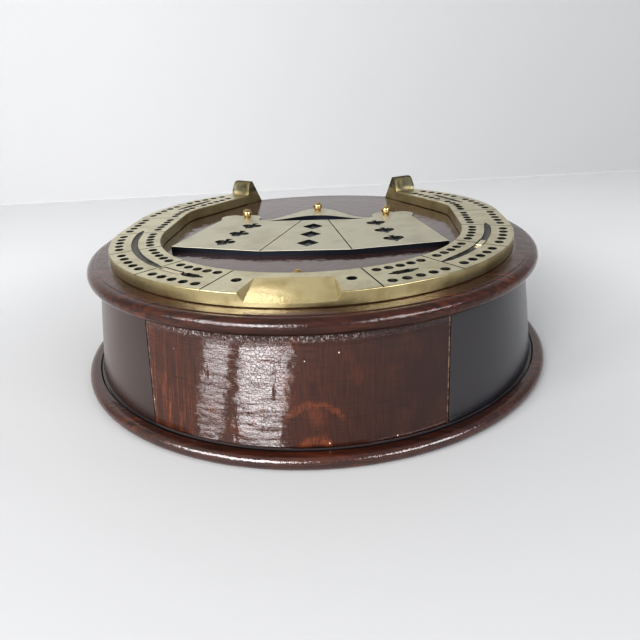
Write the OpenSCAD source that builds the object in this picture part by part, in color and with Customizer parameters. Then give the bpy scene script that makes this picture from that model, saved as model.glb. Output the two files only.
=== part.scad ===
// Cribbage board: a brass horseshoe and a brass fan of cards on a round wooden box with a drawer.
// Origin: centre of the underside. +Z up, the shoe's toe and the drawer face -Y.

/* [Box] */
// Diameter of the top board over its half-round edge
top_d = 200; // [198:1:206]
// Thickness of the top board
top_t = 6.7; // [6.5:0.1:8]
// Diameter of the base plinth over its half-round edge
base_d = 214; // [212:1:220]
// Thickness of the base plinth
base_t = 5.4; // [5:0.1:7]
// Height of the drum between the two boards
drum_h = 40.6; // [38:0.2:46]
// Radius of the drum under the top board
drum_top_r = 95; // [94:0.5:96]
// Radius of the drum at its foot
drum_foot_r = 100.6; // [99:0.2:101]
// Radius of the hollow inside the drum
drum_in_r = 86; // [84:0.5:87]

/* [Drawer] */
// Width of the curved drawer front
drawer_w = 107; // [100:0.5:110]
// Depth of the drawer box behind its front
drawer_len = 134; // [120:1:136]
// Thickness of the drawer's sides and back
side_t = 5; // [4:0.5:6]
// Height of the drawer's sides
side_h = 33; // [28:0.5:36]
// Gap around the drawer front
drawer_gap = 0.35; // [0.3:0.05:0.6]

/* [Horseshoe] */
// Thickness of the shoe
shoe_t = 5.2; // [4.8:0.1:6]
// Radius of the shoe's round front, outer edge
shoe_out_r = 89.5; // [88:0.5:91]
// Radius of the shoe's round front, inner edge
shoe_in_r = 67.8; // [67:0.2:69]
// Height of the calkins above the shoe
calkin_h = 7.5; // [5:0.5:10]
// Diameter of the peg holes
peg_hole_d = 3.2; // [3:0.05:3.4]

/* [Card plate] */
// Width of one card
card_w = 42.2; // [41:0.2:43]
// Length of one card
card_len = 54; // [53:0.5:56]
// Thickness of the plate
plate_t = 2.4; // [2:0.1:3]
// Turn of the two outer cards
card_turn = 14; // [13:0.5:15]

/* [Pegs] */
// Diameter of a peg's ball
ball_d = 4.6; // [4.4:0.1:5]
// Diameter of a peg's shank
shank_d = 2.9; // [2.8:0.05:2.95]

/* [Hidden] */
$fn = 96;

wood = "#4a1f16";
drawer_wood = "#6b2d1a";
plain_wood = "#a8855c";
brass = "#c2ad72";
bright_brass = "#d8b25a";
steel = "#9a9a98";
black = "#1b1c1e";
eps = 0.01;

drum_z = base_t;
top_z = base_t + drum_h;
deck_z = top_z + top_t;
shoe_z = deck_z + shoe_t;
plate_z = deck_z + plate_t;

// Half-round edges of the two boards
quirk = 0.3;
top_bead_r = (top_t - quirk) / 2;
base_bead_r = base_t / 2;

// Drawer: flat back of the front block, box width, bearing gap under the sides
front_back_y = -76;
box_w = 90;
slide_gap = 0.1;
side_z = drum_z + slide_gap;
bottom_t = 3;
bottom_z = side_z + 2.5;
box_back_y = front_back_y + drawer_len;
guide_gap = 0.4;
guide_w = 6;
guide_h = 10;
guide_len = 110;

// Shoe outline: round front about (0, shoe_y), straight sides, arcs, and straights inside to the heels
shoe_y = -1;
side_out_len = 20;
side_in_len = 31;
rear_out_r = 74.5;
bend_r = 25;
heel_in = [43.5, 76];
heel_out = [54.3, 82.5];
rear_out_c = [shoe_out_r - rear_out_r, shoe_y + side_out_len];
bend_c = [shoe_in_r - bend_r, shoe_y + side_in_len];
heel_turn = atan2(heel_out[1] - heel_in[1], heel_out[0] - heel_in[0]);
heel_w = norm(heel_out - heel_in);
calkin_run = 12;
calkin_crown = [3.4, 4.8];
calkin_max_r = 99;
bend_to_heel = heel_in - bend_c;
bend_turn = atan2(bend_to_heel[1], bend_to_heel[0]) - acos(bend_r / norm(bend_to_heel));

// Peg rows: distance from the edges, then spacing along each row
in_row_edge = 4.5;
out_row_edge = 4.4;
in_row_r = shoe_in_r + in_row_edge;
out_row_r = shoe_out_r - out_row_edge;
groups = 6;
group_holes = 5;
in_start = 29.4;
in_group = 27.8;
in_pitch = 4.8;
out_start = 34.6;
out_group = 32;
out_pitch = 5.5;
hole_depth = 4.6;
game_turn = 14.7;
game_r = 78.7;
line_w = 0.5;
line_depth = 0.35;

// Crease between the rows: its width and depth, its round runs as [from, to] and its nails as
// [angle, length], with the angles measured from the toe and positive towards +X
crease_r = 78.7;
crease_w = 3;
crease_depth = 1.3;
crease_arcs = [[-86, -41.5], [44, 60.5], [68.5, 87]];
crease_rear = [[75.5, 41], [63, 64]];
nail_w = 2.4;
nail_depth = 2.4;
nail_sunk = 0.2;
nail_gap = 0.03;
nails = [[-36.3, 11], [-28.6, 5], [28.6, 6], [64.5, 7]];

// Toe: a slope filed down to the front edge
toe_in_half = 14;
toe_out_half = 18;
toe_in_y = -74;
toe_edge_t = 1.7;

// Card plate: middle card's front edge, slot and scalloped strip
plate_y = -31;
slot_y = plate_y + 53;
slot_half = 27;
slot_rise = 10;
strip_y = slot_y + 2.5;
strip_rise = 24.5;
side_lobe = [35.6, 30];
side_lobe_r = 7;
scallop = [44, 31.5];
scallop_r = 5.6;
middle_lobe = [0, 43];
seam = [[19.5, plate_y - 1], [6.4, slot_y + 1]];
seam_w = 0.45;
seam_depth = 0.3;

// Pips: distance from the front edge, spacing, size, and how deep they lie in the plate
pip_start = 10.6;
pip_pitch = 14.7;
pip_count = 3;
pip_w = 9.8;
pip_sink = 0.8;
side_card_shift = 40;
side_card_y = -26;

// Pegs
shank_len = 5;
peg_bore_d = 3.05;
peg_bore_deep = 5.3;
plate_pegs = [
    [-side_lobe[0], side_lobe[1], plate_z], [each middle_lobe, plate_z], [each side_lobe, plate_z],
];
toe_peg = [0, -63.5, deck_z];
ball_lift = 0.05;

// Screws: shank radius and length, head radius and depth
shoe_screw = [1.5, 9, 3, 1.8];
plate_screw = [1.1, 7.4, 2.2, 1.4];
base_screw = [1.75, 20, 3.6, 2.4];
drawer_screw = [1.25, 14, 2.4, 1.6];
screw_gap = 0.03;
shoe_screw_at = [for (s = [-1, 1]) each [[s * 53, -59], [s * 77, 14]]];
plate_screw_at = [[-22, 0], [22, 0], [0, -13]];
base_screw_turn = [60, 140, 220, 300];
base_screw_r = 91;
drawer_screw_z = [16, 30];

// Bell curve that shapes the slot and the strip
function bell(x, half) = (1 + cos(180 * x / half)) / 2;

// Points along an arc, and an outline made of its right half and the mirror image of it
function arc_points(c, r, from, to, steps) =
    [for (i = [0 : steps]) let (a = from + (to - from) * i / steps) c + r * [cos(a), sin(a)]];
function mirrored(half) =
    concat(half, [for (i = [len(half) - 1 : -1 : 0]) if (abs(half[i][0]) > eps) [-half[i][0], half[i][1]]]);

// Place on a peg row at length s from the toe: round front, straight side, then the rear run
function in_row(s) =
    let (arc = in_row_r * PI / 2, row_r = bend_r + in_row_edge, bend = row_r * bend_turn * PI / 180)
    s < arc ? in_row_r * [sin(s / in_row_r * 180 / PI), -cos(s / in_row_r * 180 / PI)] + [0, shoe_y]
    : s < arc + side_in_len ? [in_row_r, shoe_y + s - arc]
    : s < arc + side_in_len + bend ?
        let (a = (s - arc - side_in_len) / row_r * 180 / PI) bend_c + row_r * [cos(a), sin(a)]
    : bend_c + row_r * [cos(bend_turn), sin(bend_turn)]
        + (s - arc - side_in_len - bend) * [-sin(bend_turn), cos(bend_turn)];
function out_row(s) =
    let (arc = out_row_r * PI / 2, rear_r = rear_out_r - out_row_edge)
    s < arc ? out_row_r * [sin(s / out_row_r * 180 / PI), -cos(s / out_row_r * 180 / PI)] + [0, shoe_y]
    : s < arc + side_out_len ? [out_row_r, shoe_y + s - arc]
    : let (a = (s - arc - side_out_len) / rear_r * 180 / PI) rear_out_c + rear_r * [cos(a), sin(a)];
function in_hole(g, i) = in_row(in_start + in_group * g + in_pitch * i);
function out_hole(g, i) = out_row(out_start + out_group * g + out_pitch * i);

// A shape on both sides of the centre line
module both() {
    children();
    mirror([1, 0, 0]) children();
}

// A round board with a half-round edge and a small quirk above it
module bead_board(d, t, bead_r) {
    cylinder(d = d - 2 * bead_r, h = t, $fn = 180);
    rotate_extrude($fn = 180) translate([d / 2 - bead_r, bead_r]) intersection() {
        circle(r = bead_r, $fn = 32);
        translate([0, -bead_r]) square([bead_r, 2 * bead_r]);
    }
}

// The solid drum between the boards, less a gap at its ends
module drum_solid(gap) {
    slope = (drum_foot_r - drum_top_r) / drum_h;
    low_r = drum_foot_r - slope * gap;
    high_r = drum_top_r + slope * gap;
    translate([0, 0, drum_z + gap]) cylinder(r1 = low_r, r2 = high_r, h = drum_h - 2 * gap, $fn = 180);
}

// Countersunk screw, head down at z = 0, point up; grow widens it into its own hole
module screw(s, grow = 0) {
    cylinder(r1 = s[2] + grow, r2 = s[0] + grow, h = s[3], $fn = 32);
    cylinder(r = s[0] + grow, h = s[1] + grow, $fn = 32);
}

module screw_slot(s) {
    translate([-s[2], -0.4, -eps]) cube([2 * s[2], 0.8, 0.6]);
}

module slotted_screw(s) {
    difference() {
        screw(s);
        screw_slot(s);
    }
}

// Where each set of screws sits
module at_shoe_screws() {
    for (p = shoe_screw_at) translate([p[0], p[1], top_z]) children();
}

module at_plate_screws() {
    for (p = plate_screw_at) translate([p[0], p[1], top_z]) children();
}

module at_base_screws() {
    for (a = base_screw_turn) rotate([0, 0, a - 90]) translate([base_screw_r, 0, 0]) children();
}

module at_drawer_screws() {
    for (s = [-1, 1], z = drawer_screw_z)
        translate([s * (box_w / 2), box_back_y - side_t / 2, z]) rotate([0, -s * 90, 0]) children();
}

module base_plinth() {
    color(wood) difference() {
        bead_board(base_d, base_t, base_bead_r);
        at_base_screws() screw(base_screw, screw_gap);
    }
}

module drum_wall() {
    color(wood) difference() {
        drum_solid(0);
        translate([0, 0, drum_z - 1]) cylinder(r = drum_in_r, h = drum_h + 2, $fn = 180);
        translate([-drawer_w / 2 - drawer_gap, -drum_foot_r - 1, drum_z - 1])
            cube([drawer_w + 2 * drawer_gap, drum_foot_r, drum_h + 2]);
        at_base_screws() screw(base_screw, screw_gap);
    }
}

module top_board() {
    color(wood) difference() {
        translate([0, 0, top_z]) bead_board(top_d, top_t, top_bead_r);
        at_shoe_screws() screw(shoe_screw, screw_gap);
        at_plate_screws() screw(plate_screw, screw_gap);
        for (p = concat(plate_pegs, [toe_peg])) translate(p - [0, 0, peg_bore_deep])
            cylinder(d = peg_bore_d, h = peg_bore_deep + eps);
    }
}

module guide(side) {
    x = box_w / 2 + guide_gap;
    color(plain_wood) translate([side < 0 ? -x - guide_w : x, -guide_len / 2, drum_z])
        cube([guide_w, guide_len, guide_h]);
}

module left_guide() {
    guide(-1);
}

module right_guide() {
    guide(1);
}

module drawer_stop() {
    color(plain_wood) translate([-15, box_back_y + guide_gap, drum_z]) cube([30, 8, guide_h]);
}

module drawer_front() {
    color(drawer_wood) intersection() {
        drum_solid(drawer_gap);
        translate([-drawer_w / 2, -drum_foot_r - 1, 0])
            cube([drawer_w, front_back_y + drum_foot_r + 1, deck_z]);
    }
}

module drawer_side(side) {
    color(plain_wood) difference() {
        translate([side < 0 ? -box_w / 2 : box_w / 2 - side_t, front_back_y, side_z])
            cube([side_t, drawer_len, side_h]);
        at_drawer_screws() screw(drawer_screw, screw_gap);
    }
}

module drawer_left_side() {
    drawer_side(-1);
}

module drawer_right_side() {
    drawer_side(1);
}

module drawer_back() {
    color(plain_wood) difference() {
        translate([-box_w / 2 + side_t, box_back_y - side_t, side_z])
            cube([box_w - 2 * side_t, side_t, side_h - 4]);
        at_drawer_screws() screw(drawer_screw, screw_gap);
    }
}

module drawer_bottom() {
    color(plain_wood) translate([-box_w / 2 + side_t, front_back_y, bottom_z])
        cube([box_w - 2 * side_t, drawer_len - side_t, bottom_t]);
}

module drawer_screws() {
    color(steel) at_drawer_screws() slotted_screw(drawer_screw);
}

// Outline of the shoe: outer edge from the toe to the heel, then back along the inner edge
module shoe_outline() {
    heel_angle = atan2(heel_out[1] - rear_out_c[1], heel_out[0] - rear_out_c[0]);
    polygon(mirrored([
        each arc_points([0, shoe_y], shoe_out_r, -90, 0, 36),
        each arc_points(rear_out_c, rear_out_r, 0, heel_angle - 1, 20),
        heel_out, heel_in,
        each arc_points(bend_c, bend_r, bend_turn, 0, 8),
        each arc_points([0, shoe_y], shoe_in_r, 0, -90, 36)
    ]));
}

// Raised heel, its front face hollowed and its rear face sloped, cut off round at the board's edge
module calkin() {
    steps = 5;
    front = [for (i = [0 : steps]) let (a = 90 * i / steps)
        [calkin_crown[0] * (1 - cos(a)), shoe_t + calkin_h * sin(a) * sin(a)]];
    intersection() {
        translate([heel_in[0], heel_in[1], deck_z]) rotate([0, 0, heel_turn]) rotate([90, 0, 90])
            linear_extrude(heel_w) polygon([
                [-0.5, 0], [-0.5, shoe_t - 0.02], each front,
                [calkin_crown[1], shoe_t + calkin_h], [calkin_run, 0]
            ]);
        translate([0, 0, deck_z - 1]) cylinder(r = calkin_max_r, h = shoe_t + calkin_h + 2, $fn = 180);
    }
}

// Cutter of the toe's slope
module toe_slope() {
    fall = atan2(shoe_t - toe_edge_t, toe_in_y + shoe_out_r - shoe_y);
    flare = atan2(toe_out_half - toe_in_half, toe_in_y + shoe_out_r - shoe_y);
    lean = 35;
    difference() {
        translate([0, toe_in_y, shoe_z]) rotate([fall, 0, 0]) translate([-40, -40, 0]) cube([80, 40, 20]);
        both() translate([toe_in_half, toe_in_y, shoe_z]) rotate([0, 0, flare])
            rotate([0, lean, 0]) translate([0, -60, -40]) cube([80, 120, 80]);
    }
}

// Section of the crease, and its round and straight runs
module crease_section() {
    half = crease_w / 2;
    polygon([[-half, 1], [-half, 0], [0, -crease_depth], [half, 0], [half, 1]]);
}

module crease_arc(from, to) {
    translate([0, shoe_y, shoe_z]) rotate([0, 0, from - 90])
        rotate_extrude(angle = to - from, $fn = 180) translate([crease_r, 0]) crease_section();
}

module crease_run(p, q) {
    d = q - p;
    translate([p[0], p[1], shoe_z]) rotate([0, 0, atan2(d[1], d[0])]) rotate([90, 0, 90])
        linear_extrude(norm(d)) crease_section();
}

// Engraved line between two points, a little past both
module engraved(p, q, past, w, depth, z) {
    d = q - p;
    translate([p[0], p[1], z - depth]) rotate([0, 0, atan2(d[1], d[0])])
        translate([-past, -w / 2, 0]) cube([norm(d) + 2 * past, w, depth + 1]);
}

// Blocks at the nails' places, wider by grow all round, from low to high
module nail_blocks(grow, low, high) {
    for (n = nails) translate([0, shoe_y, 0]) rotate([0, 0, n[0] - 90])
        translate([crease_r - nail_w / 2 - grow, -n[1] / 2 - grow, low])
            cube([nail_w + 2 * grow, n[1] + 2 * grow, high - low]);
}

module peg_hole(p) {
    translate([p[0], p[1], shoe_z - hole_depth]) cylinder(d = peg_hole_d, h = shoe_t, $fn = 32);
}

module horseshoe() {
    color(brass) difference() {
        union() {
            translate([0, 0, deck_z]) linear_extrude(shoe_t) shoe_outline();
            both() calkin();
        }
        toe_slope();
        both() {
            for (g = [0 : groups - 1], i = [0 : group_holes - 1]) {
                peg_hole(in_hole(g, i));
                peg_hole(out_hole(g, i));
            }
            peg_hole(game_r * [sin(game_turn), -cos(game_turn)]);
        }
        both() for (g = [0 : groups - 1])
            engraved(in_hole(g, -0.9), out_hole(g, -0.9), in_row_edge + 3, line_w, line_depth, shoe_z);
        for (a = crease_arcs) crease_arc(a[0], a[1]);
        both() crease_run(crease_rear[0], crease_rear[1]);
        nail_blocks(nail_gap, shoe_z - nail_depth - nail_gap, shoe_z + 1);
        at_shoe_screws() screw(shoe_screw, screw_gap);
    }
}

module shoe_nails() {
    color(bright_brass) nail_blocks(0, shoe_z - nail_depth, shoe_z - nail_sunk);
}

// Outline of the card plate: cards, scalloped corners and the strip behind the slot
module card_outline() {
    outer_corner = [side_card_shift, side_card_y] + card_w / 2 * [cos(card_turn), sin(card_turn)];
    inner_corner = [side_card_shift, side_card_y] - card_w / 2 * [cos(card_turn), sin(card_turn)];
    side_edge = card_len * [-sin(card_turn), cos(card_turn)];
    difference() {
        polygon(mirrored([
            inner_corner, outer_corner, outer_corner + 0.92 * side_edge,
            each arc_points(scallop, scallop_r, -15, 136, 10),
            each arc_points(side_lobe, side_lobe_r, 51, 205, 10),
            for (x = [slot_half : -3 : 1]) [x, strip_y + strip_rise * bell(x, slot_half)],
            [0, strip_y + strip_rise]
        ]));
        polygon(mirrored([
            [slot_half, slot_y],
            for (x = [slot_half - 3 : -3 : 1]) [x, slot_y + slot_rise * bell(x, slot_half)],
            [0, slot_y + slot_rise]
        ]));
    }
}

// One pip of each suit, its point towards +Y, about its own centre
module club() {
    polygon(pip_w * mirrored([
        [0.16, -0.5], [0.07, -0.18], each arc_points([0.25, 0], 0.24, -130, 94, 10),
        each arc_points([0, 0.3], 0.24, -14, 90, 6)
    ]));
}

module spade() {
    polygon(pip_w * mirrored([
        [0.15, -0.5], each arc_points([0.23, -0.08], 0.24, -135, 35, 8), [0, 0.56]
    ]));
}

module diamond() {
    polygon(pip_w * [[-0.5, 0], [0, -0.56], [0.5, 0], [0, 0.56]]);
}

// The three pips of a card, given as the card's place and turn
module pip_row(place, turn) {
    translate(place) rotate(turn) for (i = [0 : pip_count - 1])
        translate([0, pip_start + pip_pitch * i]) rotate(180) children();
}

module left_pips() {
    pip_row([-side_card_shift, side_card_y], -card_turn) club();
}

module middle_pips() {
    pip_row([0, plate_y], 0) diamond();
}

module right_pips() {
    pip_row([side_card_shift, side_card_y], card_turn) spade();
}

module card_plate() {
    color(brass) difference() {
        translate([0, 0, deck_z]) linear_extrude(plate_t) card_outline();
        both() engraved(seam[0], seam[1], 1, seam_w, seam_depth, plate_z);
        translate([0, 0, deck_z - 1]) linear_extrude(plate_t + 2) {
            left_pips();
            middle_pips();
            right_pips();
        }
        for (p = plate_pegs) translate([p[0], p[1], deck_z - 1]) cylinder(d = peg_bore_d, h = plate_t + 2);
        at_plate_screws() screw(plate_screw, screw_gap);
    }
}

// Dark filling of the pips, below the plate's face
module pip_filling() {
    color(black) translate([0, 0, deck_z]) linear_extrude(plate_t - pip_sink) children();
}

module club_pips() {
    pip_filling() left_pips();
}

module diamond_pips() {
    pip_filling() middle_pips();
}

module spade_pips() {
    pip_filling() right_pips();
}

// Peg with a ball head, standing in a hole whose mouth is at p
module peg(p) {
    color(bright_brass) translate(p) {
        translate([0, 0, ball_d / 2 + ball_lift]) sphere(d = ball_d, $fn = 32);
        translate([0, 0, -shank_len]) cylinder(d = shank_d, h = shank_len + ball_d / 2, $fn = 32);
    }
}

module peg_left() {
    peg(plate_pegs[0]);
}

module peg_middle() {
    peg(plate_pegs[1]);
}

module peg_right() {
    peg(plate_pegs[2]);
}

module peg_toe() {
    peg(toe_peg);
}

module horseshoe_screws() {
    color(steel) at_shoe_screws() slotted_screw(shoe_screw);
}

module card_plate_screws() {
    color(steel) at_plate_screws() slotted_screw(plate_screw);
}

module base_screws() {
    color(steel) at_base_screws() slotted_screw(base_screw);
}

base_plinth();
drum_wall();
top_board();
left_guide();
right_guide();
drawer_stop();
drawer_front();
drawer_left_side();
drawer_right_side();
drawer_back();
drawer_bottom();
drawer_screws();
horseshoe();
shoe_nails();
card_plate();
club_pips();
diamond_pips();
spade_pips();
peg_left();
peg_middle();
peg_right();
peg_toe();
horseshoe_screws();
card_plate_screws();
base_screws();
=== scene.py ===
"""Looks of the cribbage board: turned and varnished boards, a curved drawer, a cast brass horseshoe
and a brass fan of cards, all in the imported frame. Shapes are made in millimetres and scaled at the end."""

import math

import bmesh
import bpy
from mathutils import Matrix, Vector


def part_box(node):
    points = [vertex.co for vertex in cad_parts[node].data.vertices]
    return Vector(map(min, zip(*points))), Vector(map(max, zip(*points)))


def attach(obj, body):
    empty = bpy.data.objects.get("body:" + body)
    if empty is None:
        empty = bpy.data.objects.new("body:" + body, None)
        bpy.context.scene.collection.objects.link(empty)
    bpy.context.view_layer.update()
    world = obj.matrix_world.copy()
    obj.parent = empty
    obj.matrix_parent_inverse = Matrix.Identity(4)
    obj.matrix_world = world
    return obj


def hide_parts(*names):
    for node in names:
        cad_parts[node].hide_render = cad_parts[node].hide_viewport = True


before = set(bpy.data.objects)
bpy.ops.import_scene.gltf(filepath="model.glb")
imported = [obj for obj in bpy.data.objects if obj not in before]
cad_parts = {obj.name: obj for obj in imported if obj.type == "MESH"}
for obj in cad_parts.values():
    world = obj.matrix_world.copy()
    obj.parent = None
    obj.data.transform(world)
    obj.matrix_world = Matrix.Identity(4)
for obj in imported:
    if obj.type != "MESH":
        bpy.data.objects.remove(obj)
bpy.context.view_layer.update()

MM = 0.001
TAU = 2 * math.pi


def mm_box(node):
    """Lowest and highest corner of a CAD node, in millimetres."""
    lo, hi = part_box(node)
    return lo / MM, hi / MM


def middle(node):
    """Centre of a CAD node, seen from above."""
    lo, hi = mm_box(node)
    return ((lo.x + hi.x) / 2, (lo.y + hi.y) / 2)


# ---------------------------------------------------------------- sizes, in millimetres

base_hi = mm_box("base_plinth")[1]
drum_lo, drum_hi = mm_box("drum_wall")
top_lo, top_hi = mm_box("top_board")
face_lo, face_hi = mm_box("drawer_front")
shoe_hi = mm_box("horseshoe")[1]
plate_hi = mm_box("card_plate")[1]

BASE_R = base_hi.y
BASE_T = base_hi.z
FOOT_R = drum_hi.y
DRUM_TOP_R = 95
DRUM_IN_R = 86
DRUM_LOW, DRUM_HIGH = drum_lo.z, drum_hi.z
TOP_R = top_hi.y
TOP_LOW, DECK = top_lo.z, top_hi.z
FACE_HALF = face_hi.x
FACE_BACK = face_hi.y
FACE_GAP = 0.22
SOFT_EDGE = 0.15
BASE_SCREW_R = 91
BASE_SCREW_TURNS = (60, 140, 220, 300)
BORE_R = 1.52

# The drawer front's varnish lies in fine steps across it. Each leans back, and so mirrors a high window.
LINE_PITCH = 0.8
LINE_SLOPE = 0.36

# Thick varnish runs from GLOSS_FROM to GLOSS_TO, arc lengths from the front at GLOSS_MID_Z; its edges lean.
GLOSS_FROM, GLOSS_WORN, GLOSS_TO = -36.5, -21.5, 0.5
GLOSS_MID_Z, GLOSS_LEAN = 26.0, -0.13

# Arch figure in the drawer front's wood: centre as arc length and height, and scale along both.
ARCH_AT = (7.0, 2.0)
ARCH_SCALE = (0.068, 0.053, 1.0)

SHOE_Y = -1
SHOE_OUT = 89.5
SHOE_IN = 67.8
SHOE_T = 5.2
SHOE_TOP = DECK + SHOE_T
SIDE_OUT = 20
SIDE_IN = 31
REAR_R = 74.5
REAR_C = (SHOE_OUT - REAR_R, SHOE_Y + SIDE_OUT)
BEND_R = 25
BEND_C = (SHOE_IN - BEND_R, SHOE_Y + SIDE_IN)
HEEL_IN = (43.5, 76)
HEEL_OUT = (54.3, 82.5)
CALKIN_H = shoe_hi.z - SHOE_TOP
CALKIN_RUN = 12
CALKIN_MAX_R = 99
PLATE_TOP = plate_hi.z
PEG_HOLE_R = 1.6
CREASE_R = 78.7

# Creases, as angles from the toe or as a straight; nails in them, as angle and length.
CREASES = ((-88, -41), (41.5, 88))
TOE_PIT = (24.5, 33.5)
REAR_CREASE = (Vector((75.5, 41)), Vector((63, 64)))
NAILS = ((-36.3, 11), (-28.6, 5), (28.6, 6), (64.5, 7))
DEEP_NAIL_TURN = 30
GAME_HOLE_TURN = 14.7

# Peg rows: distance from the shoe's edge, length from the toe to the first hole, group and hole spacing.
IN_EDGE, IN_START, IN_GROUP, IN_PITCH = 4.5, 29.4, 27.8, 4.8
OUT_EDGE, OUT_START, OUT_GROUP, OUT_PITCH = 4.4, 34.6, 32, 5.5
GROUPS, HOLES = 6, 5
# Engraved lines lie before each group.
LINE_BEFORE = 0.9

PEG_BODIES = {"peg_left": "left_peg", "peg_middle": "middle_peg", "peg_right": "right_peg",
              "peg_toe": "toe_peg"}


# ---------------------------------------------------------------- mesh helpers

def arc(centre, radius, start, end, steps):
    """Points along an arc, angles in degrees."""
    return [
        (centre[0] + radius * math.cos(math.radians(start + (end - start) * i / steps)),
         centre[1] + radius * math.sin(math.radians(start + (end - start) * i / steps)))
        for i in range(steps + 1)
    ]


def mirrored(half):
    """An outline made of its right half and the mirror image of it."""
    return half + [(-x, y) for x, y in reversed(half) if abs(x) > 0.01]


def turned(points, degrees, move=(0, 0)):
    c, s = math.cos(math.radians(degrees)), math.sin(math.radians(degrees))
    return [(x * c - y * s + move[0], x * s + y * c + move[1]) for x, y in points]


def inset(outline, distance):
    """The outline moved inwards (to the left of its direction) by distance, with mitred corners."""
    count, moved = len(outline), []
    for i, p in enumerate(outline):
        a = (Vector(p) - Vector(outline[i - 1])).normalized()
        b = (Vector(outline[(i + 1) % count]) - Vector(p)).normalized()
        normal = Vector((-(a.y + b.y), a.x + b.x))
        normal = normal.normalized() if normal.length > 1e-6 else Vector((-a.y, a.x))
        reach = distance / max(0.4, normal.dot(Vector((-a.y, a.x))))
        moved.append((p[0] + normal.x * reach, p[1] + normal.y * reach))
    return moved


def loft(rings):
    """A closed bmesh through rings of points that all have the same count."""
    bm = bmesh.new()
    rows = [[bm.verts.new(p) for p in ring] for ring in rings]
    count = len(rings[0])
    for low, high in zip(rows, rows[1:]):
        for i in range(count):
            j = (i + 1) % count
            bm.faces.new((low[i], low[j], high[j], high[i]))
    bm.faces.new(list(reversed(rows[0])))
    bm.faces.new(rows[-1])
    bmesh.ops.recalc_face_normals(bm, faces=bm.faces)
    return bm


def slab(outline, low, high, edge=0.0, foot=0.0, steps=4):
    """A plate with a rounded top edge, and a chamfered bottom edge where foot is given."""
    levels = [(foot, low), (0, low + foot)] if foot else [(0, low)]
    levels += [
        (edge * (1 - math.cos(math.pi / 2 * k / steps)),
         high - edge * (1 - math.sin(math.pi / 2 * k / steps)))
        for k in range(steps + 1)
    ] if edge else [(0, high)]
    return loft([[(x, y, z) for x, y in inset(outline, d)] for d, z in levels])


def lathe(profile, steps, centre=(0, 0)):
    """A solid turned about +Z from (radius, height) points, with flat ends."""
    return loft([
        [(centre[0] + r * math.cos(TAU * i / steps), centre[1] + r * math.sin(TAU * i / steps), z)
         for i in range(steps)]
        for r, z in profile
    ])


def join(parts):
    """One bmesh of several."""
    whole = bmesh.new()
    for part in parts:
        mesh = bpy.data.meshes.new("part")
        part.to_mesh(mesh)
        part.free()
        whole.from_mesh(mesh)
        bpy.data.meshes.remove(mesh)
    return whole


def flipped(bm):
    """The mirror image of a bmesh across the centre line."""
    copy = bm.copy()
    bmesh.ops.scale(copy, vec=(-1, 1, 1), verts=copy.verts)
    bmesh.ops.reverse_faces(copy, faces=copy.faces)
    return copy


def as_object(name, bm, material):
    mesh = bpy.data.meshes.new(name)
    bm.to_mesh(mesh)
    bm.free()
    mesh.materials.append(material)
    piece = bpy.data.objects.new(name, mesh)
    bpy.context.scene.collection.objects.link(piece)
    return piece


def apply_modifiers(piece):
    graph = bpy.context.evaluated_depsgraph_get()
    mesh = bpy.data.meshes.new_from_object(piece.evaluated_get(graph), depsgraph=graph)
    piece.modifiers.clear()
    piece.data = mesh


def boolean(piece, bm, operation, material, overlapping=False):
    """Cuts or adds a bmesh; the faces that it makes keep the given material."""
    tool = as_object("tool", bm, material)
    step = piece.modifiers.new("step", "BOOLEAN")
    step.operation = operation
    step.solver = "EXACT"
    step.use_self = overlapping
    step.material_mode = "TRANSFER"
    step.object = tool
    apply_modifiers(piece)
    bpy.data.objects.remove(tool)


def finish_piece(piece, body, slot, *nodes, crease=32, weld=1e-4):
    """Cleans the mesh, smooths it up to the crease angle, scales it to metres and puts it in the frame."""
    bm = bmesh.new()
    bm.from_mesh(piece.data)
    bmesh.ops.remove_doubles(bm, verts=bm.verts, dist=weld)
    bmesh.ops.dissolve_degenerate(bm, dist=1e-4, edges=bm.edges)
    bmesh.ops.transform(bm, matrix=Matrix.Scale(MM, 4), verts=bm.verts)
    bm.to_mesh(piece.data)
    bm.free()
    piece.data.shade_smooth()
    piece.data.set_sharp_from_angle(angle=math.radians(crease))
    weighted = piece.modifiers.new("weighted", "WEIGHTED_NORMAL")
    weighted.keep_sharp = True
    weighted.weight = 100
    apply_modifiers(piece)
    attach(piece, body)
    if nodes:
        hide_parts(*nodes)
    return piece


# ---------------------------------------------------------------- material helpers

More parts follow.
